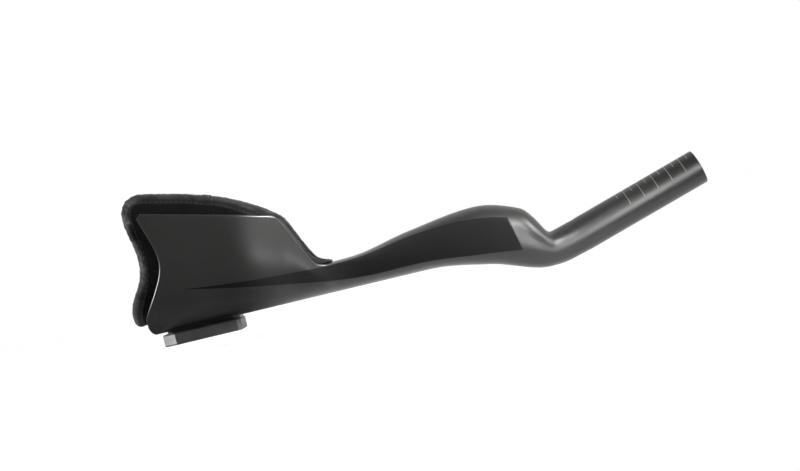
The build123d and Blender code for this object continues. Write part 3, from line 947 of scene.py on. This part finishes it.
def makeKnit(s):
    material, tree, shader = newMaterial("padKnit", s["surface"])
    where = clothSpot(tree)
    spot = splitUp(tree, where)
    across = calc(tree, "MULTIPLY", spot["Y"], 2 * pi / (s["loopWide"] * mm))
    sway = calc(tree, "MULTIPLY", calc(tree, "SINE", across), s["sway"])
    rows = calc(tree, "MULTIPLY_ADD", spot["X"], 2 * pi / (s["loopTall"] * mm), sway)
    loops = calc(tree, "MULTIPLY", calc(tree, "SINE", rows), calc(tree, "COSINE", across))
    lint = noiseAt(tree, where, *s["lintNoise"])
    patches = ramp(tree, noiseAt(tree, where, *s["patchNoise"]), *s["patch"], *s["patchSpan"])
    light = calc(tree, "MULTIPLY", ramp(tree, lint, 0, 1, *s["lintSpan"]), patches)
    shade = calc(tree, "MULTIPLY_ADD", loops, s["loopShade"], light, clamp=True)
    join(tree, blendColor(tree, shade, s["base"], s["lint"]), shader.inputs["Base Color"])
    addBump(tree, shader, calc(tree, "MULTIPLY_ADD", lint, s["lintHeight"], loops), *s["bump"])
    return material


# edging tape: ribs across the tape, worn pale in patches over the fold, a painted highlight in flecks
# where the arm slides in, and painted shade towards its hems. Lengths in mm
edgingSettings = {
    "valley": (0.004, 0.004, 0.0041),
    "rib": (0.048, 0.048, 0.0492),
    "ribPitch": 0.85,
    "pickPitch": 0.55,
    "pickShare": 0.35,
    "fuzzNoise": (1100.0, 3.0, 0.6),
    "fuzzShare": 1.6,
    "fuzzHeight": 0.5,
    "toneSpan": (-0.6, 2.2),
    "wornNoise": (85.0, 3.0),
    "worn": (0.3, 1.7),
    "wornSpan": (0.38, 0.68),
    "innerShade": 0.35,
    "innerSpan": (2.4, 3.8),    # in from the edge
    # painted highlight: its colour, the spots it lies round with x, z and reach, and how it fades out from
    # each
    "paintedHighlightColor": (0.14, 0.14, 0.142),
    "paintedHighlight": [(-25.5, 53.0, 17.0), (-22.5, 89.0, 8.0), (-28.4, 80.5, 7.0)],  # x, z and reach
    "paintedHighlightShare": 0.8,
    "paintedHighlightCore": 0.2,             # share of the reach
    "fleckNoise": (420.0, 3.0),
    "fleck": (0.35, 1),
    "fleckSpan": (0.40, 0.62),
    "streakLow": 0.3,
    "streakStart": (0.4, 1.6),  # in from the edge
    "streakEnd": (3.2, 4.8),
    "surface": {"Roughness": 0.8, "Specular IOR Level": 0.3, "Sheen Weight": 0.12, "Sheen Roughness": 0.35},
    "bump": (0.6, 0.00016),
}


def makeEdging(s):
    material, tree, shader = newMaterial("edgingTape", s["surface"])
    where = clothSpot(tree)
    spot = splitUp(tree, where)
    edgeIn = calc(tree, "ABSOLUTE", spot["Y"])

    # weave: a sine for the ribs and a weaker one for the picks across them, with fuzz on top
    ribs = calc(tree, "SINE", calc(tree, "MULTIPLY", spot["X"], 2 * pi / (s["ribPitch"] * mm)))
    picks = calc(tree, "SINE", calc(tree, "MULTIPLY", spot["Y"], 2 * pi / (s["pickPitch"] * mm)))
    fuzz = noiseAt(tree, where, *s["fuzzNoise"])
    weave = calc(tree, "MULTIPLY_ADD", picks, s["pickShare"], ribs)
    tone = ramp(tree, calc(tree, "MULTIPLY_ADD", fuzz, s["fuzzShare"], weave), 0, 1, *s["toneSpan"])
    worn = ramp(tree, noiseAt(tree, where, *s["wornNoise"]), *s["worn"], *s["wornSpan"])
    # painted shade: the colour darkens farther in from the fold, towards the hems
    inner = ramp(tree, edgeIn, 1, s["innerShade"], *metres(s["innerSpan"]))
    tone = calc(tree, "MULTIPLY", calc(tree, "MULTIPLY", tone, worn), inner)
    color = blendColor(tree, tone, s["valley"], s["rib"])

    # painted highlight: flecks round a few spots of the rear edge, in a streak on either side of the fold
    body = splitUp(tree, bodySpot(tree))
    paintedHighlight = 0.0
    for x, z, reach in s["paintedHighlight"]:
        dx = calc(tree, "SUBTRACT", body["X"], x * mm)
        dz = calc(tree, "SUBTRACT", body["Z"], z * mm)
        far = calc(tree, "SQRT", calc(tree, "MULTIPLY_ADD", dx, dx, calc(tree, "MULTIPLY", dz, dz)))
        near = ramp(tree, far, s["paintedHighlightShare"], 0, s["paintedHighlightCore"] * reach * mm, reach * mm)
        paintedHighlight = calc(tree, "MAXIMUM", near, paintedHighlight)
    flecks = ramp(tree, noiseAt(tree, where, *s["fleckNoise"]), *s["fleck"], *s["fleckSpan"])
    start = ramp(tree, edgeIn, s["streakLow"], 1, *metres(s["streakStart"]), smooth=True)
    end = ramp(tree, edgeIn, 1, 0, *metres(s["streakEnd"]), smooth=True)
    streak = calc(tree, "MULTIPLY", start, end)
    paintedHighlight = calc(tree, "MULTIPLY", calc(tree, "MULTIPLY", paintedHighlight, flecks), streak)
    join(tree, blendColor(tree, paintedHighlight, color, s["paintedHighlightColor"]), shader.inputs["Base Color"])
    addBump(tree, shader, calc(tree, "MULTIPLY_ADD", fuzz, s["fuzzHeight"], weave), *s["bump"])
    return material


# thread: dark, with the twist as a fine grain
threadSettings = {
    "low": (0.012, 0.012, 0.0123),
    "high": (0.034, 0.034, 0.0348),
    "twistNoise": (1500.0, 2.0),
    "twistSpan": (0.35, 0.65),
    "surface": {"Roughness": 0.7, "Sheen Weight": 0.1},
    "bump": (0.4, 0.0001),
}


def makeThread(s):
    material, tree, shader = newMaterial("sewingThread", s["surface"])
    twist = noiseAt(tree, bodySpot(tree), *s["twistNoise"])
    color = blendColor(tree, ramp(tree, twist, 0, 1, *s["twistSpan"]), s["low"], s["high"])
    join(tree, color, shader.inputs["Base Color"])
    addBump(tree, shader, twist, *s["bump"])
    return material


armPad = makePad(padSettings, waveSettings)
armPad.data.materials.append(makeKnit(knitSettings))
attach(armPad, "root")
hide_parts("arm_pad")
print("pad made:", len(armPad.data.polygons), "faces")

padBinding = makeBinding(bindingSettings, padSettings)
padBinding.data.materials.append(makeEdging(edgingSettings))
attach(padBinding, "root")
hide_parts("pad_binding")
print("binding made:", len(padBinding.data.polygons), "faces")

padStitches = makeStitches(stitchSettings, padSettings)
padStitches.data.materials.append(makeThread(threadSettings))
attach(padStitches, "root")
print("stitches made:", len(padStitches.data.polygons), "faces")
